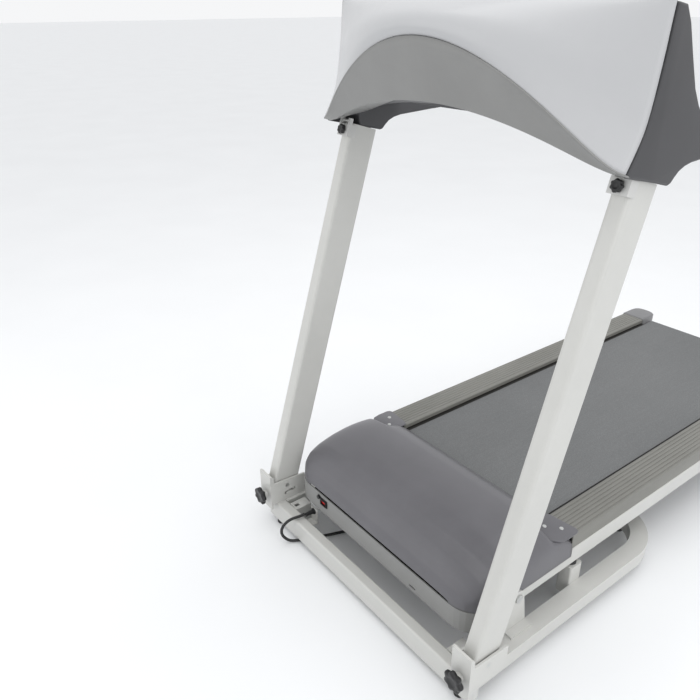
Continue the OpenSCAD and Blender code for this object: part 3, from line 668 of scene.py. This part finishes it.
for side in (-1, 1):
    bm = bmesh.new()
    steps = [(GRIP_FROM, 0.2)]
    for k in range(RIBS):
        y = GRIP_FROM + 2 + k * (GRIP_TO - GRIP_FROM - 4) / RIBS
        steps += [(y + dy, swell) for dy, swell in RIB_STEPS]
    steps.append((GRIP_TO, 0.2))
    rings = [grip_ring(bm, side, y, e) for y, e in steps]
    for (a, _), (b, _) in zip(rings, rings[1:]):
        bmesh.ops.bridge_loops(bm, edges=a + b)
    for _, ring in (rings[0], rings[-1]):
        bm.faces.new(ring)
    finish_piece("grip_sleeve_" + ("left" if side < 0 else "right"), bm, "console", rubber_black, 50)

# %% [markdown]
# Two bright steel plates on each rail read the runner's pulse. They are thin blocks with soft edges.

# %% Pulse plates
for side in (-1, 1):
    bm = bmesh.new()
    for x0, x1 in ((-19, -2), (2, 19)):
        slab(bm, (side * ARM_X + x0, 96, 1119), (side * ARM_X + x1, 156, 1124.6))
    soften(bm, 2.2, 3)
    finish_piece("pulse_plate_" + ("left" if side < 0 else "right"), bm, "console", bright_steel, 40)

# %% [markdown]
# ## The display and keys
# The runner looks at a tilted panel with a glossy window, four number read-outs, a row of speed
# keys, two cup holders and a slot for a tablet. The panel has its own axes, so each part of it is
# drawn flat, in millimetres, then placed by one matrix.

# %% Panel axes
PANEL_LOW, PANEL_HIGH = (45, 1105), (-85, 1335)
panel_len = math.dist(PANEL_LOW, PANEL_HIGH)
up_y, up_z = ((b - a) / panel_len for a, b in zip(PANEL_LOW, PANEL_HIGH))
PANEL = Matrix.Translation(at(0, *PANEL_LOW)) @ Matrix(
    ((1, 0, 0, 0), (0, up_y, up_z, 0), (0, up_z, -up_y, 0), (0, 0, 0, 1)))

# %% [markdown]
# The read-outs glow. The material gives off its own light, and a fine noise makes each digit's
# face uneven, as a row of small lamps behind a lens is.


# %% Glow and panel pieces
def glow(name, shade, strength):
    f = Finish(name)
    cell = f.noise(300, 2)
    f.set(base_color=(0.02, 0.02, 0.02), roughness=cell * 0.1 + 0.2, emission_strength=strength)
    f.set(emission_color=cell.clamp(0.2, 0.8).mix(tuple(c * 0.85 for c in shade), shade))
    return f.material


led_red = glow("display_digits", (1.0, 0.10, 0.05), 1.6)


def panel_block(name, boxes, material, bevel=2.0, segments=3, stands_for=()):
    bm = bmesh.new()
    for low, high in boxes:
        slab(bm, low, high, PANEL)
    soften(bm, bevel, segments)
    return finish_piece(name, bm, "console", material, 40, stands_for)


panel_block("panel_surround", [((-352, 92, -9), (352, 262, 1.5)), ((-352, 1, -9), (-92, 92, 1.5)),
                               ((92, 1, -9), (352, 92, 1.5))], arm_charcoal, 1.0, 2)
panel_block("display_window", [((-150, 118, 0), (150, 216, 3.4))], gloss_black, 1.5)
panel_block("tablet_ledge", [((-130, 96, 0), (130, 102, 16)), ((-130, 96, 13), (130, 107, 16))],
            arm_charcoal, 1.2)
panel_block("speed_keys", [((s * x - 13, 24, 0.5), (s * x + 13, 42, 4.6))
                           for s in (-1, 1) for x in (110, 145, 180)], shell_silver, 1.6)
panel_block("fan_vents", [((s * 250 - 42, 150 + 9 * k, 0.8), (s * 250 + 42, 154 + 9 * k, 3.4))
                          for s in (-1, 1) for k in range(7)], knob_black, 0.8, 2)

# %% [markdown]
# Each digit is drawn from seven thin bars, as on a real read-out. At rest every digit shows a zero,
# which leaves out the middle bar.

# %% Read-outs
SEGMENTS = {"top": (0, 9, 7, 1.3), "mid": (0, 0, 7, 1.3), "low": (0, -9, 7, 1.3), "ul": (-4.2, 4.5, 1.3, 7),
            "ur": (4.2, 4.5, 1.3, 7), "ll": (-4.2, -4.5, 1.3, 7), "lr": (4.2, -4.5, 1.3, 7)}
ZERO = ("top", "low", "ul", "ur", "ll", "lr")
bm = bmesh.new()
for group in range(4):
    for digit in range(3):
        cx, cy = -112 + group * 75 + digit * 14 - 7, 167
        for part in ZERO:
            dx, dy, w, h = SEGMENTS[part]
            slab(bm, (cx + dx - w / 2, cy + dy - h / 2, 3.0), (cx + dx + w / 2, cy + dy + h / 2, 3.8), PANEL)
finish_piece("display_digits", bm, "console", led_red, 30)

# %% [markdown]
# A cup holder is a rim with a darker well in it. Both are short cones on the panel's own axes.

# %% Cup holders
bm = bmesh.new()
for side in (-1, 1):
    place = PANEL @ Matrix.Translation((side * 258 * MM, 74 * MM, 3 * MM))
    drum(bm, 40, 5, place, 38)
finish_piece("cup_holder_rims", bm, "console", arm_charcoal, 30)
bm = bmesh.new()
for side in (-1, 1):
    place = PANEL @ Matrix.Translation((side * 258 * MM, 74 * MM, 4.6 * MM))
    drum(bm, 33, 2.4, place, 34)
finish_piece("cup_holder_wells", bm, "console", knob_black, 30)

# %% [markdown]
# ## Hand knobs
# A star knob is turned by hand to lock a joint. It is built as one ring of points whose radius
# swells at each lobe; the ring is pushed along the screw's axis and drawn in at the face, and a
# small recessed disc closes the middle.


# %% Star knobs
def star_knob(name, place, grip, swell, depth, lobes, body, cad_node):
    bm = bmesh.new()
    levels = [(0.0, 0.72), (0.06, 0.86), (0.25, 0.98), (0.6, 1.0), (0.86, 0.96), (0.97, 0.86), (1.0, 0.74),
              (0.97, 0.52), (0.90, 0.46), (0.88, 0.05)]
    loops = []
    for t, k in levels:
        ring = []
        for i in range(lobes * 10):
            a = math.tau * i / (lobes * 10)
            r = grip + swell * math.cos(lobes * a) if k > 0.6 else grip
            ring.append(bm.verts.new(place @ Vector((r * k * math.cos(a), r * k * math.sin(a), t * depth))))
        loops.append([bm.edges.new((p, q)) for p, q in zip(ring, ring[1:] + ring[:1])])
        if t in (0.0, 0.88):
            bm.faces.new(ring)
    for a, b in zip(loops, loops[1:]):
        bmesh.ops.bridge_loops(bm, edges=a + b)
    return finish_piece(name, bm, body, knob_black, 50, [cad_node])


LEAN = math.radians(16.6)
UPRIGHT_LEN = 975
to_front = Matrix.Rotation(math.radians(90), 4, "X")
mast = Matrix.Translation(at(0, -343, 116)) @ Matrix.Rotation(-LEAN, 4, "X")
for side in (-1, 1):
    word = "left" if side < 0 else "right"
    low_at = Matrix.Translation(at(side * 374, -408, 98)) @ to_front
    star_knob("lower_star_knob_" + word, low_at, 0.0228, 0.0026, 0.0136, 7, "knob_lower_" + word,
              "lower_knob_" + word)
    high_at = mast @ Matrix.Translation((side * 0.374, -0.0505, (UPRIGHT_LEN - 18) * MM)) @ to_front
    star_knob("upper_star_knob_" + word, high_at, 0.0112, 0.0010, 0.0096, 7, "knob_upper_" + word,
              "upper_knob_" + word)

# %% [markdown]
# ## Rear caps
# The rear caps are moulded corners with a rounded top edge, and a foot that plugs into the tube. The
# outline is extruded upward, and only the rim of its lid is bevelled.

# %% Rear caps
CAP_FOOT = (304, 321)
CAP_OUTLINE = [(251.5, 1218), (251.5, 1284), (256, 1299), (268, 1307), (282, 1310), (306, 1310), (322, 1305),
               (332, 1293), (335, 1276), (335, 1218)]
for side in (-1, 1):
    bm = bmesh.new()
    ring = [bm.verts.new(at(side * x, y, 182)) for x, y in CAP_OUTLINE]
    grown = bmesh.ops.extrude_face_region(bm, geom=[bm.faces.new(ring)])
    top = [v for v in grown["geom"] if isinstance(v, bmesh.types.BMVert)]
    bmesh.ops.translate(bm, verts=top, vec=(0, 0, 46.5 * MM))
    lid = [e for e in bm.edges if all(v in top for v in e.verts)]
    bmesh.ops.bevel(bm, geom=lid, offset=6 * MM, segments=4, profile=0.5, affect="EDGES", material=-1)
    low_x = sorted((side * CAP_FOOT[0], side * CAP_FOOT[1]))
    slab(bm, (low_x[0], 1291, 134), (low_x[1], 1308, 184))
    word = "left" if side < 0 else "right"
    finish_piece("rear_cap_skin_" + word, bm, "deck", cap_grey, 40, ["rear_cap_" + word])

# %% [markdown]
# A black strip lies across the belt where it runs out from under the hood. It is painted shadow:
# it draws the dark line that separates the hood from the belt.

# %% Painted shadow at the hood's edge
bm = bmesh.new()
# A black strip as painted shadow along the gap at the hood's rear edge.
slab(bm, (-281, -1, 210.9), (281, 5, 214.5))
soften(bm, 1.0)
finish_piece("hood_edge_painted_shadow", bm, "deck", rubber_black, 40)

# %% [markdown]
# A weld is a row of small overlapping pools of metal. Small spheres along a line give that look.


# %% Weld beads
def weld_bead(bm, start, end, radius=2.0):
    a, b = at(*start), at(*end)
    count = max(2, int((b - a).length / (radius * 1.1 * MM)))
    for k in range(count + 1):
        bmesh.ops.create_icosphere(bm, subdivisions=1, radius=radius * MM,
                                   matrix=Matrix.Translation(a.lerp(b, k / count)))


bm = bmesh.new()
for side in (-1, 1):
    weld_bead(bm, (side * 340, -349.5, 70), (side * 382, -349.5, 70))
    weld_bead(bm, (side * 339, -349.5, 31), (side * 339, -349.5, 69))
    weld_bead(bm, (side * 293, -349.5, 70), (side * 324, -349.5, 70))
finish_piece("frame_welds", bm, "base", white_coat, 60)

# %% [markdown]
# ## The floor
# The floor is one large pale square with hardly any colour change.

# %% Floor
floor_mesh = bpy.data.meshes.new("floor")
bm = bmesh.new()
bmesh.ops.create_grid(bm, x_segments=1, y_segments=1, size=70)
bm.to_mesh(floor_mesh)
bm.free()
floor = bpy.data.objects.new("floor", floor_mesh)
bpy.context.scene.collection.objects.link(floor)
floor_finish = Finish("floor")
mottle = floor_finish.noise(2.0, 4)
floor_finish.set(base_color=mottle.clamp(0.2, 0.8).mix((0.86, 0.87, 0.88), (0.89, 0.90, 0.91)), roughness=0.85)
floor_mesh.materials.append(floor_finish.material)
